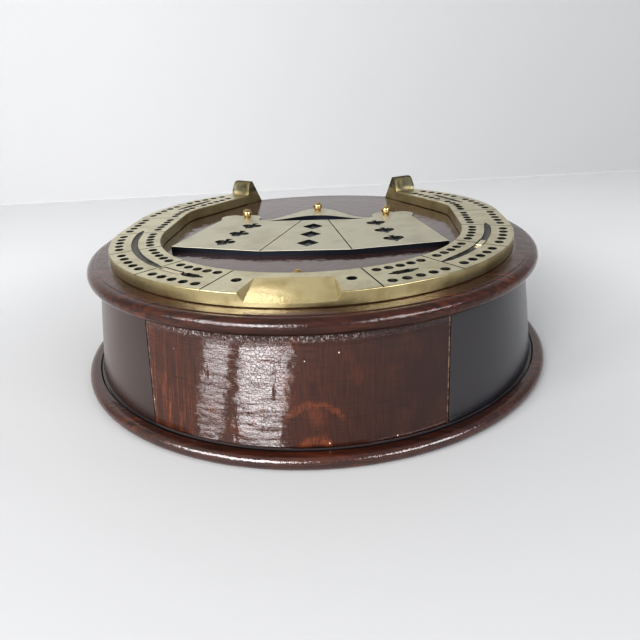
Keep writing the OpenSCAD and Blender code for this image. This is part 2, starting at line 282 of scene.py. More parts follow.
class Shader:
    """A node tree with a Principled shader. Coordinates are millimetres on the object."""

    def __init__(self, name):
        self.material = bpy.data.materials.new(name)
        self.material.use_nodes = True
        self.tree = self.material.node_tree
        self.surface = self.tree.nodes["Principled BSDF"]
        place = self.node("ShaderNodeTexCoord").outputs["Object"]
        self.place = self.vector("MULTIPLY", place, (1 / MM, 1 / MM, 1 / MM))

    def node(self, kind, **settings):
        made = self.tree.nodes.new(kind)
        for key, value in settings.items():
            setattr(made, key, value)
        return made

    def put(self, socket, value):
        if isinstance(value, bpy.types.NodeSocket):
            self.tree.links.new(value, socket)
        else:
            socket.default_value = value

    def math(self, operation, *values):
        made = self.node("ShaderNodeMath", operation=operation)
        for socket, value in zip(made.inputs, values):
            self.put(socket, value)
        return made.outputs[0]

    def times(self, a, b):
        return self.math("MULTIPLY", a, b)

    def plus(self, a, b):
        return self.math("ADD", a, b)

    def minus(self, a, b):
        return self.math("SUBTRACT", a, b)

    def vector(self, operation, *values):
        made = self.node("ShaderNodeVectorMath", operation=operation)
        for socket, value in zip(made.inputs, values):
            self.put(socket, value)
        return made.outputs[0]

    def measure(self, vector):
        """Length of a vector."""
        made = self.node("ShaderNodeVectorMath", operation="LENGTH")
        self.put(made.inputs[0], vector)
        return made.outputs["Value"]

    def split(self, vector):
        made = self.node("ShaderNodeSeparateXYZ")
        self.put(made.inputs[0], vector)
        return made.outputs

    def combine(self, x, y, z):
        made = self.node("ShaderNodeCombineXYZ")
        for socket, value in zip(made.inputs, (x, y, z)):
            self.put(socket, value)
        return made.outputs[0]

    def ramp(self, value, low, high, to_low=0.0, to_high=1.0):
        """A smooth step from to_low at low to to_high at high."""
        made = self.node("ShaderNodeMapRange", interpolation_type="SMOOTHSTEP")
        for socket, entry in zip(made.inputs, (value, low, high, to_low, to_high)):
            self.put(socket, entry)
        return made.outputs[0]

    def noise(self, vector, scale, detail=3.0, roughness=0.55, distortion=0.0):
        made = self.node("ShaderNodeTexNoise")
        for key, value in (("Vector", vector), ("Scale", scale), ("Detail", detail),
                           ("Roughness", roughness), ("Distortion", distortion)):
            self.put(made.inputs[key], value)
        return made.outputs["Fac"]

    def cells(self, vector, scale, feature="DISTANCE_TO_EDGE"):
        made = self.node("ShaderNodeTexVoronoi", feature=feature)
        self.put(made.inputs["Vector"], vector)
        self.put(made.inputs["Scale"], scale)
        return made.outputs["Distance"]

    def mix(self, fac, a, b):
        """The colour a where fac is 0, and b where it is 1."""
        made = self.node("ShaderNodeMix", data_type="RGBA")
        self.put(made.inputs["Factor"], fac)
        self.put(made.inputs[6], a if isinstance(a, bpy.types.NodeSocket) else (*a, 1))
        self.put(made.inputs[7], b if isinstance(b, bpy.types.NodeSocket) else (*b, 1))
        return made.outputs[2]

    def bump(self, height, strength, distance, normal=None):
        made = self.node("ShaderNodeBump")
        self.put(made.inputs["Strength"], strength)
        self.put(made.inputs["Distance"], distance * MM)
        self.put(made.inputs["Height"], height)
        if normal is not None:
            self.put(made.inputs["Normal"], normal)
        return made.outputs[0]

    def set(self, **values):
        for key, value in values.items():
            self.put(self.surface.inputs[key.replace("_", " ")], value)
        return self.material


def polar(shader, radius):
    """Coordinates unrolled round the axis: arc length from the front, height, radius."""
    x, y, z = shader.split(shader.place)
    turn = shader.math("ARCTAN2", x, shader.times(y, -1.0))
    out = shader.measure(shader.combine(x, y, 0.0))
    return shader.times(turn, float(radius)), z, out


# ---------------------------------------------------------------- materials

DARK_WOOD = (0.016, 0.0060, 0.0040)
BROWN_WOOD = (0.022, 0.0080, 0.0052)
RED_WOOD = (0.058, 0.0175, 0.0092)
ORANGE_WOOD = (0.21, 0.058, 0.020)
# pale flecks that stand for highlights on lumpy varnish
CRUST_GLINT = (0.42, 0.39, 0.37)
DUST = (0.55, 0.50, 0.42)
SEAM_WOOD = (0.24, 0.16, 0.10)
# painted shade for the joints where the drum meets the boards
JOINT_SHADE = (0.0075, 0.0070, 0.0085)


def varnish(shader, colour, normal, coat_roughness, coat_ior):
    """A dull ground under a clear glossy coat."""
    return shader.set(
        Base_Color=colour, Roughness=0.55, IOR=1.2, Normal=normal, Coat_Normal=normal,
        Coat_Weight=1.0, Coat_Roughness=coat_roughness, Coat_IOR=coat_ior)


def turned_wood(name, shift, groove_r, groove_z, worn_r, coat_ior):
    """Mahogany boards with their grain along X, under a glossy varnish that is wrinkled outside worn_r.
    The ring where the board meets the drum is painted dark, as shade."""
    s = Shader(name)
    x, y, z = s.split(s.vector("ADD", s.place, (shift, shift * 0.7, 0.0)))
    along, height, out = polar(s, TOP_R)
    grain = s.combine(s.times(x, 0.05), y, s.times(z, 1.2))
    grain = s.noise(grain, 0.45, 6.0, 0.62, 0.5)
    pores = s.noise(s.combine(s.times(x, 0.10), y, z), 2.6, 2.0, 0.7)
    cloud = s.noise(s.place, 0.04, 3.0)
    colour = s.mix(s.ramp(grain, 0.30, 0.70), BROWN_WOOD, RED_WOOD)
    warm = s.times(s.ramp(cloud, 0.46, 0.7), s.ramp(grain, 0.45, 0.72, 0.0, 0.45))
    colour = s.mix(warm, colour, ORANGE_WOOD)
    colour = s.mix(s.ramp(pores, 0.60, 0.76, 0.0, 0.6), colour, DARK_WOOD)
    # painted shade: a dark ring in the colour where the board meets the drum
    ring = s.math("ABSOLUTE", s.minus(out, groove_r))
    rise = s.math("ABSOLUTE", s.minus(height, groove_z))
    groove_shade = s.times(s.ramp(ring, 1.1, 0.5, 0.0, 0.85), s.ramp(rise, 1.2, 0.9))
    colour = s.mix(groove_shade, colour, JOINT_SHADE)
    ripple = s.noise(s.combine(s.times(along, 0.5), height, out), 0.25, 2.0)
    wrinkle = s.noise(s.place, 0.9, 4.0, 0.6)
    edge = s.ramp(out, worn_r, worn_r + 2.5)
    normal = s.bump(ripple, 0.25, 0.8)
    normal = s.bump(s.times(wrinkle, s.ramp(edge, 0.0, 1.0, 0.07, 1.0)), 0.45, 0.30, normal)
    return varnish(s, colour, normal, 0.05, coat_ior)


def side_wall_material():
    """The drum's fixed wall: dark and satin, with faint brush lines round it. It is painted redder on the
    left and bluer on the right as painted reflection, and painted shade darkens its foot.
    """
    s = Shader("side_wood")
    x = s.split(s.place)[0]
    along, z = polar(s, FOOT_R)[:2]
    figure = s.noise(s.combine(along, s.times(z, 0.10), 0.0), 0.7, 5.0, 0.6, 0.3)
    strokes = s.noise(s.combine(s.times(along, 0.04), z, 7.0), 2.0, 4.0, 0.6)
    colour = s.mix(s.ramp(figure, 0.38, 0.68), (0.0125, 0.0090, 0.0092), (0.026, 0.0150, 0.0135))
    # painted reflection: redder towards the left, bluer towards the right
    colour = s.mix(s.ramp(x, -30.0, -80.0, 0.0, 0.6), colour, (0.050, 0.0185, 0.0115))
    colour = s.mix(s.ramp(x, 30.0, 80.0, 0.0, 0.7), colour, (0.0095, 0.0105, 0.0170))
    # painted shade along the foot, where the drum meets the base
    colour = s.mix(s.ramp(z, DRUM_LOW + 1.0, DRUM_LOW + 0.2, 0.0, 0.8), colour, JOINT_SHADE)
    return varnish(s, colour, s.bump(strokes, 0.55, 0.12), 0.24, 1.76)


def drawer_face_material():
    """The drawer front: streaked wood, brushed across, its varnish laid on thick and crackled."""
    s = Shader("drawer_wood")
    x = s.split(s.place)[0]
    along, z = polar(s, FOOT_R)[:2]
    streak = s.noise(s.combine(along, s.times(z, 0.06), 0.0), 1.5, 5.0, 0.65, 0.3)
    hair = s.noise(s.combine(along, s.times(z, 0.09), 3.0), 3.6, 3.0, 0.7)
    strokes = s.noise(s.combine(s.times(along, 0.05), z, 7.0), 2.2, 4.0, 0.6)
    cloud = s.noise(s.combine(s.times(along, 1.3), z, 20.0), 0.07, 3.0, 0.5)

    colour = s.mix(s.ramp(streak, 0.26, 0.74), (0.020, 0.0075, 0.0050), RED_WOOD)

    # orange streaks at the left end, and two orange arches low in the middle
    figure = s.noise(s.combine(along, s.times(z, 0.045), 3.0), 0.75, 5.0, 0.7)
    left = s.ramp(along, -30.0, -44.0)
    low = s.ramp(z, 40.0, 12.0, 0.45, 1.0)
    bend = s.noise(s.combine(along, z, 9.0), 0.12, 3.0)
    flame = s.combine(s.minus(along, ARCH_AT[0]), s.minus(z, ARCH_AT[1]), 0.0)
    flame = s.vector("MULTIPLY", flame, ARCH_SCALE)
    reach = s.plus(s.measure(flame), s.times(s.minus(bend, 0.5), 0.35))
    outer_arch = s.ramp(s.math("ABSOLUTE", s.minus(reach, 1.0)), 0.11, 0.02)
    outer_arch = s.times(outer_arch, s.ramp(z, DRUM_LOW + 8.0, DRUM_LOW + 13.0, 0.1, 0.75))
    inner_arch = s.ramp(s.math("ABSOLUTE", s.minus(reach, 0.34)), 0.18, 0.04)
    patch = s.math("MAXIMUM", outer_arch, inner_arch)
    warm = s.times(s.times(left, low), s.ramp(figure, 0.47, 0.66, 0.05, 0.85))
    warm = s.math("MAXIMUM", warm, s.ramp(cloud, 0.50, 0.70, 0.05, 0.30))
    warm = s.times(warm, s.ramp(hair, 0.36, 0.60, 0.25, 1.0))
    warm = s.math("MAXIMUM", warm, s.times(patch, s.ramp(hair, 0.34, 0.62, 0.0, 0.75)))
    colour = s.mix(warm, colour, ORANGE_WOOD)
    colour = s.mix(s.ramp(strokes, 0.52, 0.70, 0.0, 0.65), colour, DARK_WOOD)
    colour = s.mix(s.ramp(along, 5.0, 48.0, 0.0, 0.60), colour, DARK_WOOD)

    # bare wood at both joints, pale flecks below the top board painted as highlights on lumpy varnish, dust,
    # and painted shade along the bottom
    broken = s.noise(s.combine(s.times(x, 0.2), z, 5.0), 0.5, 3.0, 0.6)
    rim = s.times(s.ramp(s.math("ABSOLUTE", x), FACE_HALF - 0.60, FACE_HALF - 0.40),
                 s.ramp(broken, 0.46, 0.60, 0.1, 0.85))
    colour = s.mix(rim, colour, SEAM_WOOD)
    # painted highlight: pale flecks on the lumpy varnish just below the top board
    crust_glints = s.noise(s.combine(along, s.times(z, 0.7), 15.0), 1.3, 4.0, 0.7)
    crust_glints = s.times(s.ramp(crust_glints, 0.54, 0.61), s.ramp(z, DRUM_HIGH - 4.0, DRUM_HIGH - 1.6))
    crust_glints = s.times(crust_glints, s.ramp(along, -52.0, -42.0))
    crust_glints = s.times(crust_glints, s.ramp(along, 34.0, 12.0))
    colour = s.mix(s.times(crust_glints, 0.8), colour, CRUST_GLINT)
    specks = s.cells(s.combine(along, z, 0.0), 0.16, "F1")
    colour = s.mix(s.ramp(specks, 0.060, 0.035), colour, DUST)
    # painted shade along the bottom, where the drawer front meets the base
    colour = s.mix(s.ramp(z, DRUM_LOW + 1.0, DRUM_LOW + 0.2, 0.0, 0.8), colour, JOINT_SHADE)

    # the steps show where the varnish lies thick, less in a worn upright band
    warp = s.combine(s.times(along, 0.12), s.times(z, 0.4), 2.0)
    warp = s.noise(warp, 0.8, 1.0, 0.5)
    level = s.plus(z, s.times(warp, 1.4))
    lines = s.times(s.math("FRACT", s.times(level, 1.0 / LINE_PITCH)), LINE_PITCH)
    thick = s.combine(s.times(along, 1.4), s.times(z, 0.22), 4.0)
    thick = s.noise(thick, 0.22, 5.0, 0.75)
    edge = s.noise(s.combine(along, s.times(z, 0.6), 6.0), 0.35, 6.0, 0.75)
    lean = s.times(s.minus(z, GLOSS_MID_Z), GLOSS_LEAN)
    ragged = s.times(s.minus(edge, 0.5), 12.0)
    ragged = s.plus(s.plus(along, lean), ragged)
    extent = s.ramp(ragged, GLOSS_FROM, GLOSS_FROM + 4.0)
    extent = s.times(extent, s.ramp(ragged, GLOSS_TO, GLOSS_TO - 3.0))
    worn = s.math("ABSOLUTE", s.minus(ragged, GLOSS_WORN))
    extent = s.times(extent, s.ramp(worn, 1.0, 3.4, 0.45, 1.0))
    thick = s.times(s.ramp(thick, 0.30, 0.44, 0.3, 1.0), extent)
    brushed = s.times(s.times(lines, thick), -LINE_SLOPE)
    wrinkle = s.noise(s.combine(along, s.times(z, 0.7), 1.0), 1.2, 5.0, 0.65, 0.6)
    crackle = s.cells(s.combine(along, s.times(z, 0.8), 0.0), 0.9)
    lumps = s.noise(s.combine(along, z, 11.0), 1.5, 3.0, 0.6)
    lumps = s.times(lumps, s.ramp(z, DRUM_HIGH - 5.0, DRUM_HIGH - 2.2))
    normal = s.bump(brushed, 1.0, 1.0)
    normal = s.bump(s.times(wrinkle, s.ramp(thick, 0.0, 1.0, 0.3, 1.0)), 0.5, 0.18, normal)
    normal = s.bump(s.times(s.ramp(crackle, 0.0, 0.10), thick), 0.5, 0.06, normal)
    normal = s.bump(lumps, 0.8, 0.7, normal)
    return varnish(s, colour, normal, 0.10, 1.55)


PALE_WOOD = ((0.42, 0.27, 0.14), (0.24, 0.135, 0.062), (0.15, 0.08, 0.04))
STAINED_WOOD = ((0.060, 0.030, 0.018), (0.030, 0.015, 0.010), (0.012, 0.007, 0.005))


def plain_wood_material(name, grain_axis, colours=PALE_WOOD):
    """Unvarnished wood with its grain along one axis."""
    pale, deep, pore = colours
    s = Shader(name)
    stretch = [1.0, 1.0, 1.0]
    stretch[grain_axis] = 0.06
    grain = s.noise(s.vector("MULTIPLY", s.place, tuple(stretch)), 0.5, 6.0, 0.6, 0.8)
    fibre = s.noise(s.vector("MULTIPLY", s.place, tuple(stretch)), 3.5, 3.0, 0.7)
    colour = s.mix(s.ramp(grain, 0.34, 0.68), pale, deep)
    colour = s.mix(s.ramp(fibre, 0.55, 0.78, 0.0, 0.5), colour, pore)
    return s.set(Base_Color=colour, Roughness=s.ramp(fibre, 0.3, 0.7, 0.55, 0.72),
                 Normal=s.bump(fibre, 0.3, 0.10))


def cast_brass_material():
    """Old satin brass. Pale flats and olive-gold slopes and walls are painted by which way each face looks,
    as painted light and shade.
    """
    s = Shader("shoe_brass")
    cloud = s.noise(s.place, 0.10, 5.0, 0.6)
    fine = s.noise(s.place, 1.6, 4.0, 0.65)
    pits = s.cells(s.place, 0.30, "F1")
    geometry = s.node("ShaderNodeNewGeometry")
    up = s.split(geometry.outputs["Normal"])[2]
    # painted light and shade: faces that look up are paler, slopes and walls darker
    flat = s.ramp(up, 0.80, 0.97)
    colour = s.mix(flat, (0.49, 0.42, 0.25), (0.64, 0.595, 0.44))
    raised = s.ramp(s.split(s.place)[2], SHOE_TOP + 0.3, SHOE_TOP + 2.5)
    colour = s.mix(raised, colour, (0.115, 0.108, 0.080))
    dull = s.times(s.ramp(cloud, 0.42, 0.66, 0.0, 0.7), s.ramp(flat, 0.0, 1.0, 1.0, 0.5))
    colour = s.mix(dull, colour, (0.36, 0.295, 0.16))
    colour = s.mix(s.ramp(pits, 0.07, 0.04, 0.0, 0.7), colour, (0.12, 0.09, 0.05))
    scratches = s.noise(s.vector("MULTIPLY", s.place, (0.15, 2.2, 1.0)), 2.4, 3.0, 0.7)
    normal = s.bump(cloud, 0.20, 0.6)
    normal = s.bump(fine, 0.25, 0.03, normal)
    normal = s.bump(scratches, 0.20, 0.02, normal)
    rough = s.plus(s.ramp(fine, 0.3, 0.7, 0.27, 0.38), s.times(raised, 0.22))
    return s.set(Base_Color=colour, Metallic=1.0, Normal=normal, Roughness=rough)


def filed_brass_material():
    """The toe's slope: bright yellow brass with fine file marks running down it."""
    s = Shader("filed_brass")
    marks = s.noise(s.vector("MULTIPLY", s.place, (2.4, 0.10, 0.10)), 1.2, 4.0, 0.7)
    cloud = s.noise(s.place, 0.10, 3.0)
    pits = s.cells(s.place, 0.35, "F1")
    colour = s.mix(s.ramp(cloud, 0.4, 0.7), (0.64, 0.54, 0.31), (0.50, 0.41, 0.21))
    colour = s.mix(s.ramp(pits, 0.09, 0.05, 0.0, 0.8), colour, (0.16, 0.11, 0.05))
    normal = s.bump(cloud, 0.25, 0.7)
    normal = s.bump(marks, 0.25, 0.03, normal)
    return s.set(Base_Color=colour, Metallic=1.0, Normal=normal,
                 Roughness=s.ramp(marks, 0.3, 0.7, 0.19, 0.27))


def grimy_brass_material():
    """Brass inside holes and grooves, nearly black with old polish."""
    s = Shader("grimy_brass")
    cloud = s.noise(s.place, 0.6, 4.0)
    colour = s.mix(s.ramp(cloud, 0.35, 0.7), (0.020, 0.022, 0.024), (0.085, 0.080, 0.060))
    return s.set(Base_Color=colour, Metallic=0.7, Roughness=s.ramp(cloud, 0.3, 0.7, 0.35, 0.55),
                 Normal=s.bump(cloud, 0.4, 0.1))


def crease_brass_material():
    """Dull grey brass at the bottom of the long creases."""
    s = Shader("crease_brass")
    cloud = s.noise(s.place, 0.45, 4.0)
    colour = s.mix(s.ramp(cloud, 0.35, 0.7), (0.070, 0.070, 0.068), (0.20, 0.19, 0.155))
    return s.set(Base_Color=colour, Metallic=1.0, Roughness=s.ramp(cloud, 0.3, 0.7, 0.30, 0.45),
                 Normal=s.bump(cloud, 0.3, 0.08))


def plate_brass_material():
    """The card plate: pale rolled brass, finely scratched. Its sawn edges are dark from patina and from
    painted shade.
    """
    s = Shader("plate_brass")
    fine = s.noise(s.vector("MULTIPLY", s.place, (0.25, 2.0, 1.0)), 1.8, 4.0, 0.65)
    cloud = s.noise(s.place, 0.07, 4.0)
    geometry = s.node("ShaderNodeNewGeometry")
    up = s.split(geometry.outputs["Normal"])[2]
    face = s.mix(s.ramp(cloud, 0.42, 0.72), (0.595, 0.57, 0.465), (0.52, 0.49, 0.395))
    # upright edges painted dark: part patina, part painted shade
    colour = s.mix(s.ramp(up, 0.05, 0.45), (0.030, 0.034, 0.042), face)
    normal = s.bump(fine, 0.3, 0.03, s.bump(cloud, 0.25, 0.6))
    return s.set(Base_Color=colour, Metallic=1.0, Normal=normal,
                 Roughness=s.ramp(fine, 0.3, 0.7, 0.46, 0.60))


def bright_brass_material(name, colour_a, colour_b):
    s = Shader(name)
    cloud = s.noise(s.place, 0.8, 3.0)
    fine = s.noise(s.place, 5.0, 3.0, 0.7)
    return s.set(Base_Color=s.mix(s.ramp(cloud, 0.35, 0.7), colour_a, colour_b), Metallic=1.0,
                 Roughness=s.ramp(fine, 0.3, 0.7, 0.14, 0.24), Normal=s.bump(fine, 0.2, 0.02))


def enamel_material():
    s = Shader("pip_enamel")
    cloud = s.noise(s.place, 0.9, 4.0)
    colour = s.mix(s.ramp(cloud, 0.35, 0.7), (0.006, 0.012, 0.014), (0.022, 0.028, 0.030))
    return s.set(Base_Color=colour, Roughness=s.ramp(cloud, 0.3, 0.7, 0.18, 0.34),
                 Normal=s.bump(cloud, 0.35, 0.15))


def steel_material():
    s = Shader("screw_steel")
    fine = s.noise(s.place, 2.5, 4.0, 0.65)
    colour = s.mix(s.ramp(fine, 0.35, 0.7), (0.42, 0.40, 0.38), (0.22, 0.19, 0.16))
    return s.set(Base_Color=colour, Metallic=1.0, Roughness=s.ramp(fine, 0.3, 0.7, 0.28, 0.45),
                 Normal=s.bump(fine, 0.3, 0.03))


base_wood = turned_wood("base_wood", 140.0, FOOT_R + 0.6, BASE_T, FOOT_R + 1.6, 1.75)
top_wood = turned_wood("top_wood", 30.0, DRUM_TOP_R + 0.5, TOP_LOW, SHOE_OUT - 3, 1.5)
deck_wood = turned_wood("deck_wood", 30.0, DRUM_TOP_R + 0.5, TOP_LOW, SHOE_OUT - 3, 2.4)
side_wood = side_wall_material()
edge_wood = plain_wood_material("edge_wood", 0, STAINED_WOOD)
drawer_back_wood = plain_wood_material("front_back_wood", 0)
drawer_wood = drawer_face_material()
shoe_brass = cast_brass_material()
filed_brass = filed_brass_material()
grimy_brass = grimy_brass_material()
crease_brass = crease_brass_material()
plate_brass = plate_brass_material()
peg_brass = bright_brass_material("peg_brass", (0.60, 0.46, 0.24), (0.42, 0.30, 0.14))
nail_brass = bright_brass_material("nail_brass", (0.74, 0.66, 0.49), (0.62, 0.52, 0.34))
enamel = enamel_material()
steel = steel_material()


# ---------------------------------------------------------------- boards and drum

def bead(outer, low, radius, steps=14):
    """Half-round edge of a board, from its lower to its upper tangent point."""
    return [(outer - radius + radius * math.cos(a), low + radius + radius * math.sin(a))
            for a in (math.pi * (k / steps - 0.5) for k in range(steps + 1))]


def make_base():
    """The base board, with a groove beside the drum and wells for its screws."""
    bead_r = BASE_T / 2
    profile = [(FOOT_R - 6, 0)] + bead(BASE_R, 0, bead_r)
    profile += [(FOOT_R + 1.6, BASE_T), (FOOT_R + 1.0, BASE_T - 0.5), (FOOT_R + 0.3, BASE_T - 0.5)]
    profile += [(FOOT_R - 0.4, BASE_T), (FOOT_R - 4, BASE_T)]
    piece = as_object("base_board", lathe(profile, 240), base_wood)
    wells = []
    for degrees in BASE_SCREW_TURNS:
        turn = math.radians(degrees)
        place = (BASE_SCREW_R * math.sin(turn), -BASE_SCREW_R * math.cos(turn))
        wells.append(lathe([(3.9, -1), (3.65, 0), (1.8, 2.4), (1.8, BASE_T + 1)], 32, place))
    boolean(piece, join(wells), "DIFFERENCE", base_wood)
    return finish_piece(piece, "case", "mahogany", "base_plinth")


def make_top():
    """The top board, its deck glossier than its rim, with a bore for each peg."""
    bead_r = (DECK - TOP_LOW - 0.3) / 2
    profile = [(DRUM_TOP_R - 4, TOP_LOW)] + bead(TOP_R, TOP_LOW, bead_r)
    profile += [(TOP_R - bead_r - 0.35, DECK - 0.32), (TOP_R - bead_r - 0.7, DECK - 0.05)]
    profile += [(TOP_R - bead_r - 1.0, DECK), (TOP_R - bead_r - 6, DECK)]
    piece = as_object("deck_board", lathe(profile, 240), top_wood)
    bores = []
    for node in PEG_BODIES:
        foot = mm_box(node)[0].z
        bores.append(lathe([(BORE_R, foot - 0.4), (BORE_R, DECK - 0.1), (1.75, DECK + 0.4)],
                           32, middle(node)))
    boolean(piece, join(bores), "DIFFERENCE", top_wood)
    piece.data.materials.append(deck_wood)
    for face in piece.data.polygons:
        reach = max(piece.data.vertices[i].co.xy.length for i in face.vertices)
        if face.normal.z > 0.95 and face.center.z > DECK - 0.3 and reach < TOP_R - bead_r - 5.5:
            face.material_index = len(piece.data.materials) - 1
    return finish_piece(piece, "case", "mahogany", "top_board")


def drum_radius(z):
    return FOOT_R + (DRUM_TOP_R - FOOT_R) * (z - DRUM_LOW) / (DRUM_HIGH - DRUM_LOW)


def make_drum_wall():
    """The wall from one side of the drawer opening round the back to the other."""
    edge, half = SOFT_EDGE, FACE_HALF + FACE_GAP
    steps = 200

    def outline(z, shrink):
        outer = drum_radius(z) - shrink
        start = math.degrees(math.asin((half + edge) / outer))
        inner = math.degrees(math.asin(half / DRUM_IN_R))
        points = arc((0, 0), outer, start - 90, 270 - start, steps)
        end = (-half, -math.sqrt((outer - edge) ** 2 - half ** 2))
        points.append(end)
        points += arc((0, 0), DRUM_IN_R, 270 - inner, inner - 90, steps)
        points.append((-end[0], end[1]))
        return [(x, y, z) for x, y in points]

    heights = [(DRUM_LOW, edge), (DRUM_LOW + edge, 0), (DRUM_HIGH - edge, 0), (DRUM_HIGH, edge)]
    piece = as_object("drum_shell", loft([outline(z, shrink) for z, shrink in heights]), side_wood)
    return finish_piece(piece, "case", "mahogany", "drum_wall")


def make_drawer_face():
    """The drawer front: varnished in front, stained round its edges and plain at the back."""
    edge, steps = SOFT_EDGE, 120

    def outline(z, shrink):
        outer, half = drum_radius(z) - shrink, FACE_HALF
        start = math.degrees(math.asin((half - edge) / outer))
        points = arc((0, 0), outer, -90 - start, start - 90, steps)
        front = -math.sqrt((outer - edge) ** 2 - half ** 2)
        points += [(half, front), (half, FACE_BACK + shrink), (-half, FACE_BACK + shrink), (-half, front)]
        return [(x, y, z) for x, y in points]

    low, high = face_lo.z, face_hi.z
    heights = [(low, edge), (low + edge, 0), (high - edge, 0), (high, edge)]
    piece = as_object("drawer_face", loft([outline(z, shrink) for z, shrink in heights]), drawer_wood)
    piece.data.materials.append(edge_wood)
    piece.data.materials.append(drawer_back_wood)
    for face in piece.data.polygons:
        if face.normal.y > 0.9:
            face.material_index = 2
        elif abs(face.normal.z) > 0.9 or abs(face.normal.x) > 0.9:
            face.material_index = 1
    return finish_piece(piece, "drawer", "drawer_face", "drawer_front")


# ---------------------------------------------------------------- horseshoe

def bend_turn():
    """Angle at which the inner edge's bend meets the straight that runs to the heel."""
    reach = Vector(HEEL_IN) - Vector(BEND_C)
    return math.atan2(reach.y, reach.x) - math.acos(BEND_R / reach.length)


def in_row(length):
    """Place on the inner peg row at that length from the toe."""
    radius, row_r, turn = SHOE_IN + IN_EDGE, BEND_R + IN_EDGE, bend_turn()
    quarter = radius * math.pi / 2
    if length < quarter:
        return (radius * math.sin(length / radius), SHOE_Y - radius * math.cos(length / radius))
    if length < quarter + SIDE_IN:
        return (radius, SHOE_Y + length - quarter)
    rest = length - quarter - SIDE_IN
    if rest < row_r * turn:
        return (BEND_C[0] + row_r * math.cos(rest / row_r), BEND_C[1] + row_r * math.sin(rest / row_r))
    rest -= row_r * turn
    return (BEND_C[0] + row_r * math.cos(turn) - rest * math.sin(turn),
            BEND_C[1] + row_r * math.sin(turn) + rest * math.cos(turn))


def out_row(length):
    """Place on the outer peg row at that length from the toe."""
    radius, rear_r = SHOE_OUT - OUT_EDGE, REAR_R - OUT_EDGE
    quarter = radius * math.pi / 2
    if length < quarter:
        return (radius * math.sin(length / radius), SHOE_Y - radius * math.cos(length / radius))
    if length < quarter + SIDE_OUT:
        return (radius, SHOE_Y + length - quarter)
    turn = (length - quarter - SIDE_OUT) / rear_r
    return (REAR_C[0] + rear_r * math.cos(turn), REAR_C[1] + rear_r * math.sin(turn))


def in_hole(group, i):
    return in_row(IN_START + IN_GROUP * group + IN_PITCH * i)


def out_hole(group, i):
    return out_row(OUT_START + OUT_GROUP * group + OUT_PITCH * i)


def shoe_outline():
    heel = math.degrees(math.atan2(HEEL_OUT[1] - REAR_C[1], HEEL_OUT[0] - REAR_C[0]))
    bend = arc(BEND_C, BEND_R, math.degrees(bend_turn()), 0, 16)
    straight = [tuple(Vector(HEEL_IN).lerp(Vector(bend[0]), k / 6)) for k in range(6)]
    return mirrored(
        arc((0, SHOE_Y), SHOE_OUT, -90, 0, 90)
        + arc(REAR_C, REAR_R, 0, heel - 0.7, 50)
        + [HEEL_OUT] + straight + bend
        + arc((0, SHOE_Y), SHOE_IN, 0, -90, 90))


def drill(place, top, depth=4.6, radius=PEG_HOLE_R):
    """Cutter of a blind hole with a softly broken mouth."""
    return lathe([(radius - 0.1, top - depth), (radius, top - depth + 0.3), (radius, top - 0.22),
                  (radius + 0.10, top - 0.07), (radius + 0.30, top + 0.05), (radius + 0.30, top + 0.6)],
                 28, place)


def groove(path, half_width, depth, top, taper=3.0):
    """Cutter of a round-bottomed groove along a path, fading out at both ends."""
    lengths = [0.0]
    for a, b in zip(path, path[1:]):
        lengths.append(lengths[-1] + (Vector(b) - Vector(a)).length)
    rings = []
    for i, p in enumerate(path):
        a, b = Vector(path[max(i - 1, 0)]), Vector(path[min(i + 1, len(path) - 1)])
        side = Vector((-(b - a).y, (b - a).x)).normalized()
        reach = min(1.0, min(lengths[i], lengths[-1] - lengths[i]) / taper)
        size = 0.30 + 0.70 * math.sin(reach * math.pi / 2)
        section = [(half_width * size * math.cos(t), -depth * size * math.sin(t))
                   for t in (math.pi * k / 10 for k in range(11))]
        section = [(section[0][0] + 0.25, 0.4)] + section + [(section[-1][0] - 0.25, 0.4)]
        rings.append([(p[0] + side.x * w, p[1] + side.y * w, top + h) for w, h in section])
    return loft(rings)


def engraved(p, q, past, half_width, depth, top):
    """Cutter of a V-shaped line through p and q, a little past both."""
    p, q = Vector(p), Vector(q)
    run = (q - p).normalized()
    side = Vector((-run.y, run.x))
    section = [(half_width, 0.4), (half_width, 0.0), (0.25 * half_width, -depth),
               (-0.25 * half_width, -depth), (-half_width, 0.0), (-half_width, 0.4)]
    return loft([[(e.x + side.x * w, e.y + side.y * w, top + h) for w, h in section]
                 for e in (p - run * past, q + run * past)])


def crease_path(start, end):
    steps = max(4, int(abs(end - start)))
    return [(CREASE_R * math.sin(math.radians(a)), SHOE_Y - CREASE_R * math.cos(math.radians(a)))
            for a in (start + (end - start) * k / steps for k in range(steps + 1))]


def nail_outline(turn, length, grow=0.0):
    """A bent rounded bar that follows the crease."""
    half = math.degrees((length / 2 + grow) / CREASE_R)
    width = 1.2 + grow
    outer = arc((0, SHOE_Y), CREASE_R + width, turn - half - 90, turn + half - 90, 8)
    inner = arc((0, SHOE_Y), CREASE_R - width, turn + half - 90, turn - half - 90, 8)
    return outer + inner


def heel_frame():
    """Direction across the heel, direction back from it, and the heel's width."""
    run = Vector((HEEL_OUT[0] - HEEL_IN[0], HEEL_OUT[1] - HEEL_IN[1]))
    width = run.length
    run.normalize()
    return run, Vector((-run.y, run.x)), width


